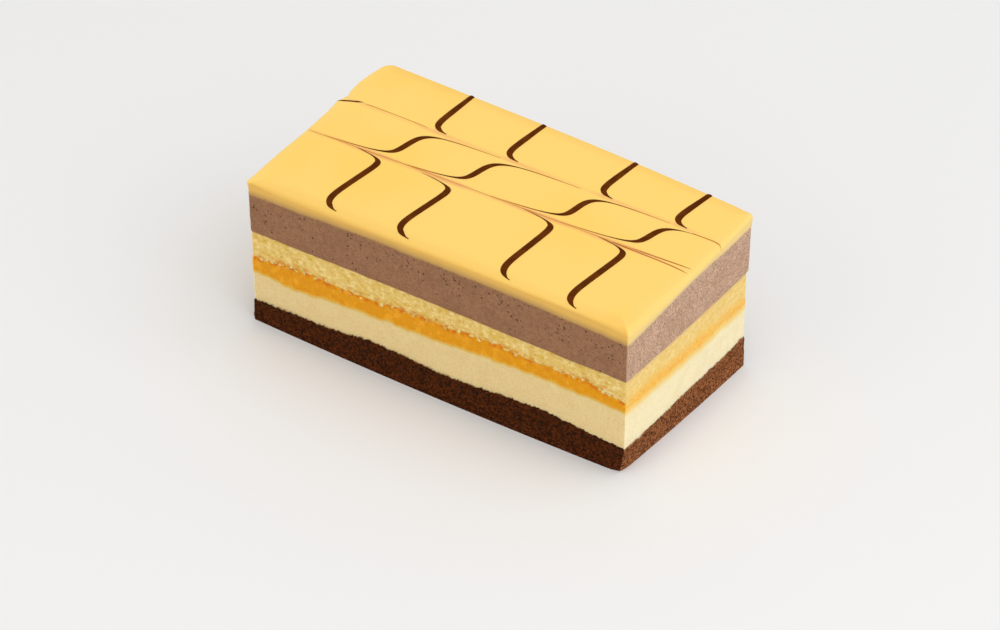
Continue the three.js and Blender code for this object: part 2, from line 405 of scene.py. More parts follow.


# in the layers' dictionaries, in millimetres:
# top is the height at the front left, front right, back right and back left corners
# swells are X, rise and spread, and mounds are X, Y, rise and the spread along each
# proud, lowStand, highStand and endStand are how far the cuts stand out: in all, at the seams, at the ends
# lip is how near a seam that changes, calm is how far relief dies down there, below and above
# ragged is the size and rise of the waves in the upper seam
# lowBlend and highBlend are how wide the seams' tints are on the long cuts and on the end cuts
# a pair named Share is a pattern's strength on the long cuts and on the end cuts
# dots, pits and holes are spacing, radius and the share of places that have one
# bump is depth and strength
# colour and the end colour are a layer's shaded copy for the long cuts and its lit copy for the end cuts:
# painted shade and painted light

# cocoa sponge: the dark base, a fine crumb whose foot is worn round at the near corner
cocoaSponge = dict(
    name="cocoa_crumb", node="cocoa_sponge", seed=61,
    top=(5.45, 6.35, 6.3, 6.4), swells=((-15, 1.2, 11), (28.5, 1.7, 16), (0, 0.75, 40)),
    mounds=((50, -2, 0.4, 15, 14),),
    proud=0.15, lip=0.5, lowStand=0.15, highStand=-0.05, endStand=(0.05, 0.1), calm=(1.0, 0.0),
    ragged=((4.5, 0.1), (1.0, 0.18), (0.45, 0.24)), rings=34,
    relief=((0.09, 0.09, 1.2, 41, 3),),
    pores=dict(size=(0.9, 0.9, 0.7), seed=21, smallest=0.25, largest=0.6, depth=0.2, endShare=1),
    # the front cut bows out at its foot, the right end leans, and the foot is worn round at the corner
    footBow=0.8, bowMiddle=-12, bowReach=62, bowHeight=9, bowLeast=0.2,
    footLean=(-0.9, 0.35), leanReach=6, leanHeight=6,
    footRound=2.0, footInset=0.12, wornInset=0.4, wornSpread=1.7,
    surface=dict(Roughness=0.9, Specular_IOR_Level=0.08),
    grainSize=0.42, grainWeight=0.5, speck=dict(size=0.5, detail=3, roughness=0.7), toneRange=(0.48, 0.9),
    litRange=(0.78, 1.0), litHeight=(4.5, 1.0), litStrength=(0.25, 0.85),  # painted highlights on the lightest crumbs, more of them low down as painted warm bounce light
    # gaps between grains and pores are darkened as painted shade
    gapRange=(0.4, 0.75), gapDepth=0.7, gapStrength=0.65,
    highBlend=(0.04, 0.15), bump=(0.2, 0.8),
    # colour and dark are shaded copies for the long cuts, the end ones lit copies: painted shade and
    # painted light
    colour=rgb(86, 40, 8), litEndColour=rgb(164, 102, 60), dark=rgb(40, 17, 4), litEndDark=rgb(88, 47, 24),
    # the colour of the painted highlights and warm bounce light on the crumbs, the end one lit brighter
    litCrumbs=rgb(108, 50, 16), litEndCrumbs=rgb(192, 126, 76),
)


def cocoaSide(x, y, z, out):
    c = cocoaSponge
    bow = c["footBow"] * np.maximum(0, -out[:, 1]) * (1 - ((x - c["bowMiddle"]) / c["bowReach"]) ** 2)
    foot = (1 - smoothStep(z / c["footRound"])) ** 2
    stand = bow * np.clip(1 - z / c["bowHeight"], c["bowLeast"], 1) - c["footInset"] * foot
    lean = lerp(*c["footLean"], acrossSlice(x, y)) * smoothStep((x - halfLength) / c["leanReach"] + 1)
    toCorner = np.hypot(x - halfLength, y + sliceForm["rightWidth"] / 2)
    worn = c["wornInset"] * bell(toCorner, c["wornSpread"]) * foot
    alongX = out[:, 0] * stand + lean * np.clip(1 - z / c["leanHeight"], 0, 1) - worn
    return np.stack([alongX, out[:, 1] * stand + worn], axis=-1)


def cocoaMaterial():
    c = cocoaSponge
    material, tree, shader, place = pieceMaterial(c)
    end = endTone(tree)
    dark = mixColour(tree, end, c["dark"], c["litEndDark"])
    litCrumbs = mixColour(tree, end, c["litCrumbs"], c["litEndCrumbs"])
    distance, mark = grains(tree, place, c["grainSize"])
    tone = combine(tree, "MULTIPLY", mark, c["grainWeight"])
    tone = combine(tree, "ADD", tone, grain(tree, place, **c["speck"]))
    colour = mixColour(tree, remap(tree, tone, *c["toneRange"]), dark, shadedAndLitTone(tree, c))
    # painted light: highlights on the lightest crumbs, strongest near the foot as warm bounce light
    lower = remap(tree, pointValue(tree, "fromLow"), *c["litHeight"], *c["litStrength"])
    lit = combine(tree, "MULTIPLY", remap(tree, tone, *c["litRange"]), lower)
    colour = mixColour(tree, lit, colour, litCrumbs)
    # painted shade in the gaps between grains and in the pores
    gap = remap(tree, distance, *c["gapRange"], 0, c["gapDepth"])
    gap = combine(tree, "MAXIMUM", gap, pointValue(tree, "pore"))
    colour = mixColour(tree, combine(tree, "MULTIPLY", gap, c["gapStrength"]), colour, dark)
    colour = seamBlend(tree, colour, "fromHigh", creamFilling, *c["highBlend"])
    finish(tree, shader, colour, combine(tree, "SUBTRACT", tone, distance), *c["bump"])
    return material


# cream: smooth, with faint specks
creamFilling = dict(
    name="cream", node="cream_filling", seed=62,
    top=(13.3, 16.4, 15.6, 14.2), swells=((-37, -0.85, 9), (18, 1.0, 28)),
    mounds=((31, -25, 0.35, 9, 14),),
    proud=-0.1, lip=0.5, lowStand=-0.1, highStand=-0.12, endStand=(0.3, 0.1), calm=(0.8, 0.8),
    ragged=((6.0, 0.2), (2.4, 0.26), (1.0, 0.2)), rings=30,
    relief=((0.06, 0.06, (7, 7, 2.5), 61, 3), (0.02, 0.02, 0.8, 65, 1)),
    surface=dict(Roughness=0.55, Specular_IOR_Level=0.2, Subsurface_Weight=0.3, Subsurface_Scale=2 * mm,
                 Subsurface_Radius=(1.0, 0.75, 0.4)),
    cloud=dict(size=2.6, detail=3, start=0.6, whole=0.35, strength=0.12),
    speck=dict(size=0.45, roughness=0.6), speckRange=(0.56, 0.36), speckShare=(0.3, 0.12),
    # dots are pinholes darkened as painted shade
    dots=(2.4, 0.22, 0.4), dotStrength=0.35,
    lowBlend=(0.06, 0.2), highBlend=(0.7, 1.6), bump=(0.06, 0.6),
    # colour is the shaded copy for the long cuts and the end colour the lit copy: painted shade and painted
    # light
    colour=rgb(234, 210, 153), litEndColour=rgb(252, 237, 194), shade=rgb(216, 176, 104),
    dot=rgb(190, 150, 96),
)


def creamMaterial():
    c = creamFilling
    material, tree, shader, place = pieceMaterial(c)
    speck = grain(tree, place, **c["speck"])
    colour = mixColour(tree, patches(tree, place, **c["cloud"]), shadedAndLitTone(tree, c), c["shade"])
    specks = byCut(tree, remap(tree, speck, *c["speckRange"]), endTone(tree), *c["speckShare"])
    colour = mixColour(tree, specks, colour, c["shade"])
    # painted shade of pinholes, with no hollows in the relief under them
    dots = combine(tree, "MULTIPLY", pinholes(tree, place, *c["dots"]), c["dotStrength"])
    colour = mixColour(tree, dots, colour, c["dot"])
    colour = seamBlend(tree, colour, "fromHigh", jamEdge, *c["highBlend"], share=1.0)
    colour = seamBlend(tree, colour, "fromLow", cocoaSponge, *c["lowBlend"])
    finish(tree, shader, colour, speck, *c["bump"])
    return material


# where the jam runs into the cream
# its colour is a shaded copy for the long cuts and its end colour a lit copy: painted shade and painted
# light
jamEdge = dict(colour=rgb(234, 186, 82), litEndColour=rgb(254, 214, 128))


# jam: a thin wet orange layer with a wavy lower edge
fruitJam = dict(
    name="jam", node="fruit_jam", seed=63,
    top=(17.4, 19.6, 18.4, 17.3), swells=((10, 1.8, 34), (-35, 0.6, 9)),
    mounds=((15, -25, 0.4, 6, 12), (37, -25, 0.8, 6, 12), (50, -25, -1.3, 3.5, 5), (50, 24, -0.9, 6, 9)),
    proud=-0.1, lip=0.5, lowStand=-0.12, highStand=-0.2, endStand=(0.55, 0.1), calm=(0.8, 0.8),
    ragged=((5.0, 0.3), (2.2, 0.36), (1.0, 0.3)), rings=16,
    relief=((0.08, 0.08, (2.2, 2.2, 1.2), 71, 2),),
    surface=dict(Roughness=0.35, Specular_IOR_Level=0.12, Subsurface_Weight=0.2, Subsurface_Scale=2 * mm,
                 Subsurface_Radius=(1.0, 0.5, 0.1)),
    cloudStretch=(0.8, 0.8, 0.7),
    cloud=dict(size=1.4, detail=3, roughness=0.6, start=0.45, whole=0.7, strength=0.6),
    speck=dict(size=0.5, start=0.5, whole=0.66, strength=0.25),
    blotch=dict(size=1.4, start=0.4, whole=0.6), blotchReach=(1.4, 0.1), blotchShare=(0.85, 0.05),
    rippleSize=0.9, lowBlend=(0.6, 1.2), highBlend=(0.1, 1.0), bump=(0.06, 0.5),
    # colour is the shaded copy for the long cuts and the end colour the lit copy: painted shade and painted
    # light
    colour=rgb(228, 154, 2), litEndColour=rgb(255, 194, 78), deep=rgb(210, 98, 8), pale=rgb(250, 180, 44),
)


def jamMaterial():
    c = fruitJam
    material, tree, shader, place = pieceMaterial(c)
    cloud = patches(tree, stretch(tree, place, *c["cloudStretch"]), **c["cloud"])
    colour = mixColour(tree, cloud, shadedAndLitTone(tree, c), c["pale"])
    colour = mixColour(tree, patches(tree, place, **c["speck"]), colour, c["deep"])
    nearSponge = remap(tree, pointValue(tree, "fromHigh"), *c["blotchReach"])
    blotch = combine(tree, "MULTIPLY", nearSponge, patches(tree, place, **c["blotch"]))
    blotch = byCut(tree, blotch, endTone(tree), *c["blotchShare"])
    colour = mixColour(tree, blotch, colour, c["deep"])
    colour = seamBlend(tree, colour, "fromLow", jamEdge, *c["lowBlend"], share=1.0)
    colour = seamBlend(tree, colour, "fromHigh", lightSponge, *c["highBlend"])
    finish(tree, shader, colour, grain(tree, place, c["rippleSize"]), *c["bump"])
    return material


# light sponge: a fine yellow crumb whose lower edge sits ragged in the jam
lightSponge = dict(
    name="light_crumb", node="light_sponge", seed=64,
    top=(24.2, 24.9, 25.4, 25.4), swells=((-6, 0.6, 32),),
    proud=-0.3, lip=0.4, lowStand=-0.25, highStand=-0.45, endStand=(0.5, 0.15), calm=(0.3, 0.5),
    ragged=((3.0, 0.08), (1.0, 0.06)), rings=34,
    relief=((0.14, 0.042, (1.6, 1.6, 0.9), 101, 3),), endFrom=49.2,
    pores=dict(size=(1.5, 1.5, 0.9), seed=81, smallest=0.15, largest=0.55, depth=0.3, endShare=0.3),
    surface=dict(Roughness=0.85, Specular_IOR_Level=0.12, Subsurface_Weight=0.25, Subsurface_Scale=1 * mm,
                 Subsurface_Radius=(1.0, 0.7, 0.3)),
    crumbStretch=(0.8, 0.8, 1.1),
    speck=dict(size=1.0, detail=3, roughness=0.6), speckRange=(0.44, 0.64), paleShare=(0.7, 0.5),
    dull=dict(size=1.6, detail=3, roughness=0.6, start=0.5, whole=0.66), dullShare=(0.8, 0.3),
    # pits are pinholes darkened as painted shade
    pits=(1.3, 0.34, 0.4), pitShare=(0.6, 0.25),
    soaked=dict(size=1.3, detail=3, start=0.42, whole=0.6), soakedReach=(1.6, 0.1), soakedShare=(0.75, 0.1),
    lowBlend=(0.1, 1.6), highBlend=(0.12, 1.0), bump=(0.2, 0.45),
    # colour is the shaded copy for the long cuts and the end colour the lit copy, painted shade and painted
    # light; pit is the painted shade of the holes
    colour=rgb(229, 196, 113), litEndColour=rgb(240, 203, 123), pale=rgb(250, 227, 158), pitShade=rgb(206, 152, 40),
    olive=rgb(222, 186, 80), stain=rgb(220, 136, 44),
)


def lightMaterial():
    c = lightSponge
    material, tree, shader, place = pieceMaterial(c)
    end = endTone(tree)
    crumb = stretch(tree, place, *c["crumbStretch"])
    speck = grain(tree, crumb, **c["speck"])
    pale = byCut(tree, remap(tree, speck, *c["speckRange"]), end, *c["paleShare"])
    colour = mixColour(tree, pale, shadedAndLitTone(tree, c), c["pale"])
    dull = byCut(tree, patches(tree, crumb, **c["dull"]), end, *c["dullShare"])
    colour = mixColour(tree, dull, colour, c["olive"])
    # painted shade in the pores and pinholes
    pits = combine(tree, "MAXIMUM", pointValue(tree, "pore"), pinholes(tree, crumb, *c["pits"]))
    colour = mixColour(tree, byCut(tree, pits, end, *c["pitShare"]), colour, c["pitShade"])
    nearJam = remap(tree, pointValue(tree, "fromLow"), *c["soakedReach"])
    soaked = combine(tree, "MULTIPLY", nearJam, patches(tree, place, **c["soaked"]))
    colour = mixColour(tree, byCut(tree, soaked, end, *c["soakedShare"]), colour, c["stain"])
    colour = seamBlend(tree, colour, "fromLow", fruitJam, *c["lowBlend"])
    colour = seamBlend(tree, colour, "fromHigh", nougatMousse, *c["highBlend"])
    finish(tree, shader, colour, speck, *c["bump"])
    return material


# pale flakes of the light sponge that hang over the jam on the long cuts
spongeFlakes = dict(
    name="sponge_flakes", node="light_sponge", seed=31, count=240, within=48.5,
    size=(0.3, 1.0), flat=0.7, rise=(-0.6, 0.4), stand=(-0.9, -0.55),
    rough=0.3, roughSize=0.5,
    fromSeam=(0.3, 2.0), fromTop=9,  # how far the material takes each to be from the jam and the mousse
)


# scattered along the jam's upper seam, added one by one in edit mode and then roughened
def makeFlakes():
    f = spongeFlakes
    draw = np.random.default_rng(f["seed"])
    plan, out = planRun(*sliceForm["mesh"])
    chance = (facingEnd(out) < 0.5) & (np.abs(plan[:, 0]) < f["within"])
    spots = draw.choice(len(plan), f["count"], p=chance / chance.sum())
    heights = seamHeight(fruitJam, *plan[spots].T) + draw.uniform(*f["rise"], f["count"])
    stands = draw.uniform(*f["stand"], f["count"])
    sizes = draw.uniform(*f["size"], (f["count"], 3)) * (1, 1, f["flat"])
    turns = draw.uniform(0, math.pi, f["count"])
    bpy.ops.object.select_all(action="DESELECT")
    bpy.ops.object.add(type="MESH")
    piece = bpy.context.object
    piece.name = piece.data.name = f["name"]
    bpy.ops.object.mode_set(mode="EDIT")
    for spot, height, stand, size, turn in zip(spots, heights, stands, sizes, turns):
        place = toMetres(np.append(plan[spot] + out[spot] * stand, height))
        bpy.ops.mesh.primitive_ico_sphere_add(subdivisions=2, radius=mm, location=place,
                                              rotation=(0, 0, turn), scale=size)
    bpy.ops.object.mode_set(mode="OBJECT")
    bpy.ops.object.shade_smooth()
    points = readPoints(piece.data) / mm
    rough = np.stack([softNoise(points, f["roughSize"], f["seed"] + i) for i in range(3)], axis=-1)
    piece.data.vertices.foreach_set("co", ((points + f["rough"] * rough) * mm).ravel())
    perFlake = len(points) // f["count"]
    keepValue(piece.data, "fromLow", np.repeat(draw.uniform(*f["fromSeam"], f["count"]), perFlake))
    keepValue(piece.data, "fromHigh", np.full(len(points), f["fromTop"]))
    keepValue(piece.data, "endward", np.repeat(facingEnd(out[spots]), perFlake))
    piece.data.update()
    handOver(piece, f["node"], bpy.data.materials[lightSponge["name"]])


# nougat mousse: dense and matt, with pinholes, its lower rim rounded over the sponge
nougatMousse = dict(
    name="nougat", node="nougat_mousse", seed=65,
    top=(34.8, 35.0, 37.4, 38.3), swells=((-15, 1.2, 23), (19, 1.2, 23)), mounds=((50, -1, 1.2, 25, 13),),
    proud=0.35, lip=0.7, lowStand=0.05, highStand=0.38, endStand=(0.15, -0.1), calm=(0.5, 0.8),
    ragged=((7.0, 0.12), (2.0, 0.07)), rings=50,
    relief=((0.03, 0.05, 0.9, 121, 2), (0.08, 0.08, 9.0, 125, 1)), endFrom=49.5,
    surface=dict(Roughness=0.75, Specular_IOR_Level=0.15, Subsurface_Weight=0.1, Subsurface_Scale=1 * mm,
                 Subsurface_Radius=(1.0, 0.7, 0.5)),
    speck=dict(size=0.4, detail=3, roughness=0.7), speckRange=(0.6, 0.38), speckStrength=0.6,
    patch=dict(size=1.2, detail=3, roughness=0.6, start=0.45, whole=0.65, strength=0.35),
    cloud=dict(size=6.0, detail=3, start=0.45, whole=0.7, strength=0.25),
    # stipple dots are the mousse's own speckle, painted stronger on the end cut as raking-light shade
    stippleTurn=(0.8, 1), stippleShare=(0.35, 1), dots=(0.5, 0.26, 0.9), dotShare=(0.3, 0.6),
    # small pinholes in clusters, mostly high up, and larger ones all over, painted dark as the shade inside
    # them
    cluster=dict(size=7.0, detail=1, start=0.4, whole=0.65),
    clusterReach=(10, 4), clusterStrength=(0.35, 1),
    smallHoles=(0.85, 0.3, 0.65), largeHoles=(1.9, 0.34, 0.6), holeShare=(1, 0.35), holeStrength=0.9,
    lowBlend=(0.08, 0.9), highBlend=(0.7, 0.8), bump=(0.15, 0.8),
    # colour and shade are shaded copies for the long cuts, the end ones lit copies: painted shade and
    # painted light
    colour=rgb(163, 120, 87), litEndColour=rgb(217, 181, 154), shade=rgb(128, 90, 66),
    litEndShade=rgb(166, 128, 104), dot=rgb(120, 84, 64), pinholeShade=rgb(74, 42, 26),
)


def nougatMaterial():
    c = nougatMousse
    material, tree, shader, place = pieceMaterial(c)
    end = endTone(tree)
    stipple = remap(tree, pointValue(tree, "endward"), *c["stippleTurn"])
    speck = grain(tree, place, **c["speck"])
    shade = mixColour(tree, end, c["shade"], c["litEndShade"])
    specks = remap(tree, speck, *c["speckRange"], 0, c["speckStrength"])
    colour = mixColour(tree, specks, shadedAndLitTone(tree, c), shade)
    colour = mixColour(tree, patches(tree, place, **c["patch"]), colour, shade)
    # dark dots: the mousse's speckle, and on the end cut more of it as painted raking-light shade
    dots = byCut(tree, pinholes(tree, place, *c["dots"]), stipple, *c["dotShare"])
    colour = mixColour(tree, dots, colour, c["dot"])
    colour = mixColour(tree, patches(tree, place, **c["cloud"]), colour, shade)
    upper = remap(tree, pointValue(tree, "fromHigh"), *c["clusterReach"], *c["clusterStrength"])
    cluster = combine(tree, "MULTIPLY", patches(tree, place, **c["cluster"]), upper)
    hole = combine(tree, "MULTIPLY", pinholes(tree, place, *c["smallHoles"]), cluster)
    hole = combine(tree, "MAXIMUM", hole, pinholes(tree, place, *c["largeHoles"]))
    hole = byCut(tree, hole, end, *c["holeShare"])
    # painted shade inside the pinholes
    colour = mixColour(tree, combine(tree, "MULTIPLY", hole, c["holeStrength"]), colour, c["pinholeShade"])
    colour = seamBlend(tree, colour, "fromHigh", yellowGlaze, *c["highBlend"])
    colour = seamBlend(tree, colour, "fromLow", lightSponge, *c["lowBlend"])
    height = combine(tree, "SUBTRACT", byCut(tree, speck, stipple, *c["stippleShare"]), hole)
    finish(tree, shader, colour, height, *c["bump"])
    return material


# glaze: a soft upper edge, and a left end drawn out where the skewer came in
yellowGlaze = dict(
    name="glaze", node="yellow_glaze",
    top=(37.8, 38.4, 40.9, 41.9), swells=(), mounds=((8, 26, 0.6, 38, 12), (6, -26, 0.45, 30, 9)),
    proud=0.5, frontStand=0.12, seamStand=0.42, sideRings=5, rollRings=12, skinRings=20, skinClose=0.98,
    # radius of the upper edge: along the front by X, at the back, and what the right end adds to it
    frontRollX=(-50, -43, 0, 36, 45), frontRoll=(0.4, 1.25, 0.95, 0.6, 1.1), backRoll=0.45,
    endRoll=(0.55, 0.3), endRollFrom=45, endRollReach=4,
    edgeTint=0.35, tintReach=3.0,  # the side's tone, painted shade on the long cuts and painted light on the ends, runs a little way over the top
    leftEndY=(-26, -24.6, -20, -14, -4, 4, 7, 8.4, 9.2, 11.6, 13.2, 17, 21, 26),
    leftEndOut=(0.8, 0.6, 0.65, 0.75, 0.55, 0.9, 1.2, 1.5, 1.2, 0.65, 1.25, 1.65, 1.35, 0.7),
    surface=dict(Roughness=0.45, Specular_IOR_Level=0.2, Subsurface_Weight=0.2, Subsurface_Scale=2 * mm,
                 Subsurface_Radius=(1.0, 0.7, 0.25)),
    rich=dict(size=30.0, start=0.4, whole=0.65, strength=0.7), waveSize=6.0,
    lowBlend=(1.4, 0.8), bump=(0.1, 0.3),
    # colour and the end colour are the sides' shaded copy on the long cuts and lit copy on the ends:
    # painted shade and painted light
    colour=rgb(228, 182, 90), litEndColour=rgb(245, 211, 130), topColour=rgb(250, 208, 111),
    smear=rgb(236, 172, 108), richColour=rgb(250, 204, 98),
    # how strong the tan smear is along X: in the middle drag and in the rear drag
    middleSmear=((-50, 0.25), (-42, 0.3), (-34, 0.9), (-29, 0.9), (-25, 0.4), (-21, 0.5), (-15, 0.9),
                 (-9, 0.9), (-5, 0.25), (3, 0.4), (9, 0.9), (17, 0.9), (22, 0.3), (27, 0.7), (35, 0.9),
                 (40, 0.6), (46, 0.1)),
    rearSmear=((-50, 0.3), (-30, 0.2), (-25, 0.7), (-18, 0.4), (-8, 0.3), (-4, 0.7), (4, 0.4), (16, 0.2),
               (20, 0.6), (28, 0.4), (36, 0.3), (40, 0.6), (45, 0.1)),
    # Y of each smear at the two ends and its half width, then the share of that which is even
    middleTrack=(-3.7, 0.2, 1.1), rearTrack=(10.4, 12.2, 0.9), trackCore=0.2,
)


def leftEnd(y):
    return np.interp(y, yellowGlaze["leftEndY"], yellowGlaze["leftEndOut"])


def glazeOut(y, out):
    toLeft, toFront = np.clip(-out[:, 0], 0, 1), np.clip(-out[:, 1], 0, 1)
    return lerp(lerp(yellowGlaze["proud"], yellowGlaze["frontStand"], toFront), leftEnd(y), toLeft)


# radius of the glaze's upper edge, softer towards the front and softest along the right end
def edgeRoll(x, y):
    g, toBack = yellowGlaze, smoothStep(acrossSlice(x, y))
    roll = lerp(np.interp(x, g["frontRollX"], g["frontRoll"]), g["backRoll"], toBack)
    return roll + lerp(*g["endRoll"], toBack) * smoothStep((x - g["endRollFrom"]) / g["endRollReach"])


# height of the glaze's upper surface, with its soft edge
def glazeHeight(x, y):
    g = yellowGlaze
    longBow = sliceForm["cutBow"] * (1 - (x / halfLength) ** 2)
    endBow = sliceForm["cutBow"] * (1 - (y / halfWidth(x)) ** 2)
    toLong = halfWidth(x) + np.where(y < 0, g["frontStand"], g["proud"]) + longBow - np.abs(y)
    toEdge = np.minimum(toLong, endBow + halfLength + np.minimum(g["proud"] - x, leftEnd(y) + x))
    roll = edgeRoll(x, y)
    intoRoll = np.clip(roll - toEdge, 0, roll)
    return layerTop(g, x, y) - roll + np.sqrt(roll ** 2 - intoRoll ** 2)


def makeGlaze():
    g = yellowGlaze
    steps = sliceForm["mesh"]
    plan, out = planRun(*steps)
    x, y = plan.T
    low = seamHeight(nougatMousse, x, y)
    sideReach = glazeOut(y, out)
    rings, side = [], []
    for inset in sliceForm["closeIn"][::-1]:
        rings.append(np.column_stack([planRun(*steps, inset)[0], low]))
        side.append(1)
    roll = edgeRoll(x, y)
    foot = layerTop(g, x, y) - roll
    for t in np.linspace(0, 1, g["sideRings"], endpoint=False):
        stand = lerp(g["seamStand"], sideReach, smoothStep(t))[:, None]
        rings.append(np.column_stack([plan + out * stand, lerp(low, foot, t)]))
        side.append(1)
    mostRoll = max(g["frontRoll"]) + max(g["endRoll"])
    inner = planRun(*steps, mostRoll)[0]
    # the side's painted shade and painted light fade over the roll and a little way onto the top
    for angle in np.linspace(0, math.pi / 2, g["rollRings"]):
        inset, drop = roll * (1 - math.cos(angle)), roll * (1 - math.sin(angle))
        spot = lerp(plan, inner, (inset / mostRoll)[:, None]) + out * sideReach[:, None]
        rings.append(np.column_stack([spot, layerTop(g, *spot.T) - drop]))
        side.append(lerp(1, g["edgeTint"], math.sin(angle)))
    rim = rings[-1]
    spine = (sliceForm["length"] - sliceForm["leftWidth"]) / 2
    for t in np.linspace(0, g["skinClose"], g["skinRings"] + 1)[1:]:
        spotX = lerp(rim[:, 0], np.clip(rim[:, 0], -spine, spine), t)
        spot = np.column_stack([spotX, lerp(rim[:, 1], 0, t)])
        rings.append(np.column_stack([spot, layerTop(g, *spot.T)]))
        side.append(g["edgeTint"] * (1 - smoothStep(t * sliceForm["leftWidth"] / 2 / g["tintReach"])))
    rings = np.stack(rings)
    fromLow = np.maximum.accumulate(rings[..., 2] - low, axis=0)  # never falls again over the top
    piece = raiseTube(g["name"], len(x), len(rings))
    shapeTube(piece, rings, fromLow=fromLow, endward=facingEnd(out), side=np.array(side, float)[:, None])
    handOver(piece, g["node"], glazeMaterial())


# a tan track along one drag: its strength follows X, and it fades to both sides
def dragTrack(tree, x, y, track, strengths):
    leftY, rightY, halfTrack = track
    trackY = remap(tree, x, -halfLength * mm, halfLength * mm, leftY * mm, rightY * mm)
    trackY.node.interpolation_type = "LINEAR"
    aside = combine(tree, "ABSOLUTE", combine(tree, "SUBTRACT", y, trackY), 0)
    ramp = tree.nodes.new("ShaderNodeValToRGB")
    along = combine(tree, "ADD", combine(tree, "DIVIDE", x, sliceForm["length"] * mm), 0.5)
    tree.links.new(along, ramp.inputs[0])
    elements = ramp.color_ramp.elements
    elements[0].color = (*[strengths[0][1]] * 3, 1)
    elements[-1].color = (*[strengths[-1][1]] * 3, 1)
    for at, strength in strengths[1:]:
        elements.new(alongSlice(at)).color = (strength, strength, strength, 1)
    sideways = remap(tree, aside, halfTrack * mm, yellowGlaze["trackCore"] * halfTrack * mm)
    return combine(tree, "MULTIPLY", ramp.outputs[0], sideways)


def glazeMaterial():
    g = yellowGlaze
    material, tree, shader, place = pieceMaterial(g)
    axes = tree.nodes.new("ShaderNodeSeparateXYZ")
    tree.links.new(place, axes.inputs[0])
    x, y = axes.outputs[0], axes.outputs[1]
    smear = combine(tree, "MAXIMUM", dragTrack(tree, x, y, g["middleTrack"], g["middleSmear"]),
                    dragTrack(tree, x, y, g["rearTrack"], g["rearSmear"]))
    colour = mixColour(tree, patches(tree, place, **g["rich"]), g["topColour"], g["richColour"])
    colour = mixColour(tree, smear, colour, g["smear"])
    # painted shade and painted light of the sides, carried over the roll onto the top's edge
    colour = mixColour(tree, pointValue(tree, "side"), colour, shadedAndLitTone(tree, g))
    colour = seamBlend(tree, colour, "fromLow", nougatMousse, *g["lowBlend"])
    finish(tree, shader, colour, grain(tree, place, g["waveSize"]), *g["bump"])
    return material


# chocolate lines, piped from back to front and feathered by three drags of a skewer
chocolateLines = dict(
    name="chocolate_lines",
    # X of each line at the back cut, above and below the rear drag, and at the front cut, then how far
    # its rear trail and front hook are pulled, and how far its middle hook is shifted in Y
    lines=((-26.15, -27.1, -27.25, -31.95, 8.7, 4.7, 0.2), (-5.85, -7.6, -7.85, -12.95, 10.6, 5.1, -0.4),
           (19.3, 17.5, 17.4, 15.03, 8.6, 3.8, 0.0), (38.95, 36.85, 36.6, 32.25, 8.5, 3.85, 0.0)),
    # Y of each drag at the left end, the middle and the right end, then how far it pulls along X and how
    # fast that fades, some of them twice
    rearHook=(10.85, 11.7, 12.25, 3.1, 1.08, 1.1, 0.3), middleTrail=(-3.8, -1.55, 0.6, -18.0, 0.87),
    rearTrail=(9.4, 10.95, 11.9), trailFade=1.2, farPull=11.0, farFade=0.25,
    middleHook=(-3.9, -1.75, 0.4), middlePull=-9.5, middleFade=0.82,
    frontHook=(-25.3, -23.95, -24.2), hookFade=1.8, tipPull=0.5, tipFade=0.3,
    trailLimit=47,  # no trail goes past this X
    middleShare=0.38,  # how much of a line's lean is done at the middle drag
    backGap=0.05,  # the lines end this far inside the glaze's back edge
    width=1.98, thinnest=0.32, hookWidth=0.75, tailFade=10, rise=0.2, leastRise=0.25,
    edgeSink=0.5, thickness=0.1, step=0.25, across=7, samples=600,
    # share of the width at a stroke's start, then how far its start and its end taper
    rearTaper=(0.8, 8, 3.4), middleTaper=(0.3, 12, 8), frontTaper=(0.3, 4, 3.4), tipShare=0.15,
    # thin hairs that the skewer drew, as how pale each is and its run of X and Y
    hairs=((0.85, (-45.6, 10.8), (-42, 11.0), (-36, 11.15), (-31, 11.2), (-27.6, 11.1)),
           (0.6, (43, 11.4), (46.2, 11.5), (48.8, 11.6), (50.2, 11.6), (50.5, 11.4), (50.66, 11.1),
            (50.73, 10.8)),
           (0.9, (-50.4, -3.9), (-45, -3.6), (-38, -3.3), (-24, -2.5), (-10, -2.0), (2, -1.6), (16, -1.0),
            (28, -0.6), (37, -0.1)),
           (0.45, (35, -0.1), (37, 0.0), (43, 0.4), (49.4, 0.8)),
           (0.5, (30, -0.7), (37, -0.55), (43.5, -0.5), (46.7, -0.6), (49.6, -0.95))),
    # a short dark tick at the left end
    tick=(0.0, (-51.6, 8.5), (-50, 9.3), (-48, 10.4), (-46.1, 11.0)), tickWidth=0.6,
    hairWidth=0.28, hairRise=0.06, hairStep=0.3, hairBend=0.8, hairTip=0.3, hairTaper=1.5,
    unevenBy=0.35, unevenSize=5.0, unevenSeed=201,
    surface=dict(Roughness=0.45, Specular_IOR_Level=0.02), bump=(0.05, 0.3),
    cloudSize=2.5, cloudRange=(0.35, 0.7), cloudStrength=0.12,
    tailTone=0.5,  # how pale the thin end of a stroke gets, on the hairs' scale
    colour=rgb(84, 36, 1), tailColour=rgb(172, 90, 20), hairColour=rgb(214, 152, 66),
)


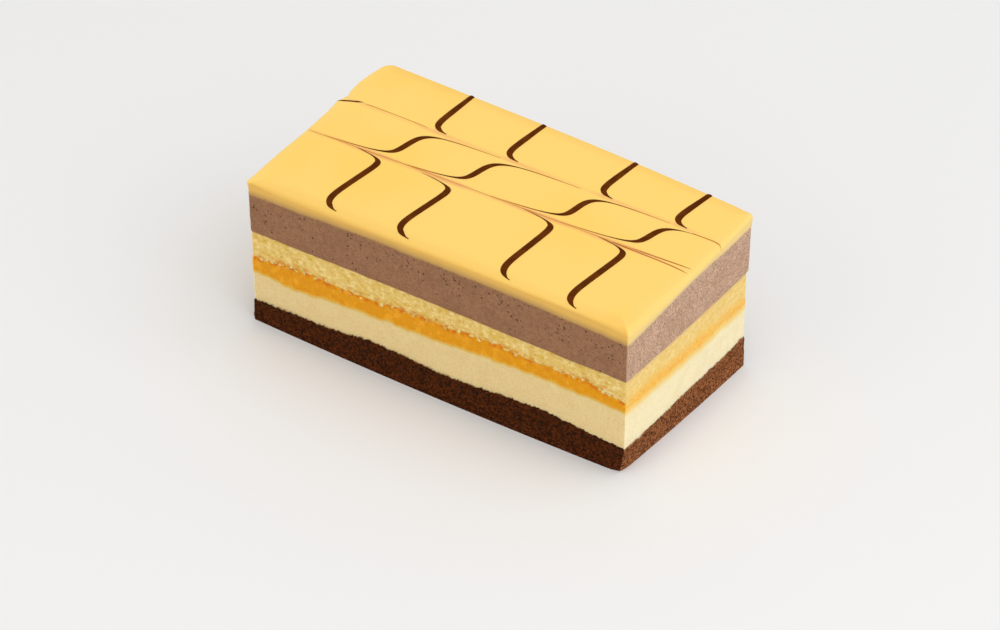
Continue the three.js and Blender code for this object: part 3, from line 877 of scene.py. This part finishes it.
# a flat grid bent along a run of points on the glaze, as a low rib whose edges sink in
def layRib(centre, width, rise, hair):
    c = chocolateLines
    bpy.ops.object.select_all(action="DESELECT")
    bpy.ops.mesh.primitive_grid_add(x_subdivisions=c["across"] - 1, y_subdivisions=len(centre) - 1, size=2)
    rib = bpy.context.object
    grid = readPoints(rib.data)
    side = grid[:, 0]
    step = np.rint((grid[:, 1] + 1) / 2 * (len(centre) - 1)).astype(int)
    along = np.gradient(centre, axis=0)
    along /= np.linalg.norm(along, axis=1)[:, None]
    across = np.stack([along[:, 1], -along[:, 0]], axis=1)
    spot = centre[step] + across[step] * (side * width[step] / 2)[:, None]
    height = glazeHeight(*spot.T)
    near = 0.02  # a step to feel the slope of the glaze
    fallX = (height - glazeHeight(spot[:, 0] + near, spot[:, 1])) / near
    fallY = (height - glazeHeight(spot[:, 0], spot[:, 1] + near)) / near
    normal = np.column_stack([fallX, fallY, np.ones(len(spot))])
    normal /= np.linalg.norm(normal, axis=1)[:, None]
    lift = ((1 + c["edgeSink"]) * np.sqrt(np.clip(1 - side ** 2, 0, 1)) - c["edgeSink"]) * rise[step]
    placed = np.column_stack([spot, height]) + normal * lift[:, None]
    rib.data.vertices.foreach_set("co", toMetres(placed).ravel())
    keepValue(rib.data, "hair", hair[step])
    rib.data.update()
    bpy.ops.object.shade_smooth()
    return rib


# the same run with even steps
def evenRun(points, step, fewest=4):
    length = np.concatenate([[0], np.cumsum(np.linalg.norm(np.diff(points, axis=0), axis=1))])
    at = np.linspace(0, length[-1], max(int(length[-1] / step), fewest))
    return np.column_stack([np.interp(at, length, points[:, 0]), np.interp(at, length, points[:, 1])]), at


# the drag's own line, a slight curve through its three values of Y
def dragY(drag, x):
    left, middle, right = drag[:3]
    u = alongSlice(x)
    return left * (1 - u) * (1 - 2 * u) + middle * 4 * u * (1 - u) + right * u * (2 * u - 1)


def dragPull(drag, away):
    pulls = zip(drag[3::2], drag[4::2])
    return sum(pull * np.exp(-away / fade) for pull, fade in pulls)


# one stroke of a line between two drags: it leans from upperX to lowerX, and each drag pulls its end
def strokeRun(upperX, lowerX, upper, lower):
    upperY, lowerY = dragY(upper, upperX), dragY(lower, lowerX)
    ease = (1 - np.cos(np.pi * np.linspace(0, 1, chocolateLines["samples"]))) / 2
    y = lerp(upperY, lowerY, ease)
    upperPull = dragPull(upper, upperY - y)
    lowerPull = dragPull(lower, y - lowerY)
    x = lerp(upperX, lowerX, ease) + upperPull + lowerPull
    y = y + dragY(upper, upperX + upperPull) - upperY + dragY(lower, lowerX + lowerPull) - lowerY
    run = np.column_stack([x, y])[x < chocolateLines["trailLimit"]]
    return evenRun(run, chocolateLines["step"])


# a stroke is thin where it runs along a drag, but a hooked one stays wide in its lower half
def layStroke(run, taper, hooked=False):
    c = chocolateLines
    centre, at = run
    along = np.gradient(centre, axis=0)
    upright = np.abs(along[:, 1]) / np.linalg.norm(along, axis=1)
    if hooked:
        upright = np.where(at > at[-1] / 2, np.maximum(upright, c["hookWidth"]), upright)
    width = np.maximum(c["thinnest"], c["width"] * upright)
    thick = at[width > 2 * c["thinnest"]]
    away = np.maximum(thick[0] - at, at - thick[-1])
    hair = c["tailTone"] * smoothStep(away / c["tailFade"])
    startShare, startTaper, endTaper = taper
    ends = lerp(startShare, 1, smoothStep(at / startTaper))
    ends = ends * lerp(c["tipShare"], 1, smoothStep((at[-1] - at) / endTaper))
    rise = c["rise"] * np.clip(width / c["width"], c["leastRise"], 1)
    return layRib(centre, width * ends, rise, hair)


# rounds the corners of a run by averaging each point with its neighbours
def rounded(run, reach=2):
    weights = np.ones(2 * reach + 1) / (2 * reach + 1)
    soft = [np.convolve(np.pad(line, reach, "edge"), weights, "valid") for line in run.T]
    soft = np.column_stack(soft)
    soft[0], soft[-1] = run[0], run[-1]
    return soft


def layHair(hairRun, width):
    c = chocolateLines
    hair, *points = hairRun
    centre = rounded(evenRun(np.array(points, float), c["hairBend"])[0])
    centre, at = evenRun(centre, c["hairStep"])
    place = np.column_stack([centre, np.zeros(len(centre))])
    uneven = 1 + c["unevenBy"] * softNoise(place, c["unevenSize"], c["unevenSeed"])
    ends = lerp(c["hairTip"], 1, smoothStep(np.minimum(at, at[-1] - at) / c["hairTaper"]))
    rise = np.full(len(centre), c["hairRise"])
    return layRib(centre, width * uneven * ends, rise, np.full(len(centre), hair))


def makeChocolateLines():
    c = chocolateLines
    overBack = yellowGlaze["proud"] - c["backGap"]
    backCut = [halfWidth(x) + overBack for x in (-halfLength, 0, halfLength)]
    ribs = []
    for backX, rearX, belowX, frontX, trailPull, frontPull, hookShift in c["lines"]:
        rearTrail = (*c["rearTrail"], trailPull, c["trailFade"], c["farPull"], c["farFade"])
        middleHook = (*[y + hookShift for y in c["middleHook"]], c["middlePull"], c["middleFade"])
        frontHook = (*c["frontHook"], frontPull, c["hookFade"], c["tipPull"], c["tipFade"])
        middleX = lerp(belowX, frontX, c["middleShare"])
        rear = strokeRun(backX, rearX, backCut, c["rearHook"])
        middle = strokeRun(belowX, middleX, rearTrail, c["middleTrail"])
        front = strokeRun(middleX, frontX, middleHook, frontHook)
        ribs.append(layStroke(rear, c["rearTaper"], hooked=True))
        ribs.append(layStroke(middle, c["middleTaper"]))
        ribs.append(layStroke(front, c["frontTaper"], hooked=True))
    for hairRun in c["hairs"]:
        ribs.append(layHair(hairRun, c["hairWidth"]))
    ribs.append(layHair(c["tick"], c["tickWidth"]))
    bpy.ops.object.select_all(action="DESELECT")
    for rib in ribs:
        rib.select_set(True)
    bpy.context.view_layer.objects.active = ribs[0]
    bpy.ops.object.join()
    piece = bpy.context.object
    piece.name = piece.data.name = c["name"]
    bpy.ops.object.modifier_add(type="SOLIDIFY")
    piece.modifiers[0].thickness = c["thickness"] * mm
    piece.modifiers[0].offset = -1
    bpy.ops.object.modifier_apply(modifier=piece.modifiers[0].name)
    handOver(piece, "yellow_glaze", chocolateMaterial())


def chocolateMaterial():
    c = chocolateLines
    material, tree, shader, place = pieceMaterial(c)
    cloud = grain(tree, place, c["cloudSize"])
    clouds = remap(tree, cloud, *c["cloudRange"], 0, c["cloudStrength"])
    hair = pointValue(tree, "hair")
    colour = mixColour(tree, remap(tree, hair, 0, c["tailTone"]), c["colour"], c["tailColour"])
    colour = mixColour(tree, remap(tree, hair, c["tailTone"], 1), colour, c["hairColour"])
    colour = mixColour(tree, clouds, colour, c["tailColour"])
    finish(tree, shader, colour, cloud, *c["bump"])
    return material


# camera at the photo's viewing angle, in the slice's own millimetres
photoCamera = dict(
    azimuth=35.084, elevation=36.489, roll=0.322, distance=732.87,
    target=(10.463, -14.657, 20), lens=120.14, sensorWidth=36, clipStart=10,
)


def addCamera():
    c = photoCamera
    bpy.ops.object.camera_add()
    camera = bpy.context.object
    camera.name = "photo_camera"
    aim = Matrix.Translation(toMetres(np.array(c["target"])))
    for angle, axis in ((c["azimuth"], "Z"), (90 - c["elevation"], "X"), (c["roll"], "Z")):
        aim = aim @ Matrix.Rotation(math.radians(angle), 4, axis)
    camera.matrix_world = aim @ Matrix.Translation((0, 0, c["distance"] * mm))  # and back from its target
    camera.data.lens = c["lens"]
    camera.data.sensor_width = c["sensorWidth"]
    camera.data.sensor_fit = "HORIZONTAL"
    camera.data.clip_start = c["clipStart"] * mm
    bpy.context.scene.camera = camera
    print("camera in place")


# soft studio light, in metres: a wide key from above on the right, a warm fill from the front, a pale floor
studio = dict(
    keyPlace=(0.75, -0.1, 1.26), keySize=2.4, keyPower=16.2, keyColour=(1.0, 1.0, 1.0),
    fillPlace=(-0.25, -1.0, 0.55), fillSize=0.9, fillPower=1.5, fillColour=(1.0, 0.84, 0.64),
    skyColour=(1.0, 1.0, 1.0), skyStrength=0.65,
    floorColour=rgb(233, 233, 233), floorRoughness=0.6, floorSize=6,
)


def addAreaLight(name, place, size, power, colour):
    bpy.ops.object.light_add(type="AREA", location=place)
    light = bpy.context.object
    light.name = name
    light.data.shape = "DISK"
    light.data.size = size
    light.data.energy = power
    light.data.color = colour
    light.rotation_euler = (-Vector(place)).to_track_quat("-Z", "Y").to_euler()


def addStudio():
    s = studio
    addAreaLight("key_light", s["keyPlace"], s["keySize"], s["keyPower"], s["keyColour"])
    addAreaLight("fill_light", s["fillPlace"], s["fillSize"], s["fillPower"], s["fillColour"])
    world = bpy.data.worlds.new("soft_sky")
    bpy.context.scene.world = world
    world.use_nodes = True
    sky = world.node_tree.nodes["Background"]
    sky.inputs["Color"].default_value = (*s["skyColour"], 1)
    sky.inputs["Strength"].default_value = s["skyStrength"]
    bpy.ops.mesh.primitive_plane_add(size=s["floorSize"], location=(0, 0, 0))
    floor = bpy.context.object
    floor.name = "floor"
    look = newMaterial("floor", Roughness=s["floorRoughness"], Base_Color=s["floorColour"])[0]
    floor.data.materials.append(look)
    bpy.context.scene.view_settings.view_transform = "Standard"
    print("studio in place")


makeLayer(cocoaSponge, None, cocoaMaterial(), cocoaSide)
makeLayer(creamFilling, cocoaSponge, creamMaterial())
makeLayer(fruitJam, creamFilling, jamMaterial())
makeLayer(lightSponge, fruitJam, lightMaterial())
makeFlakes()
makeLayer(nougatMousse, lightSponge, nougatMaterial())
makeGlaze()
makeChocolateLines()
addCamera()
addStudio()
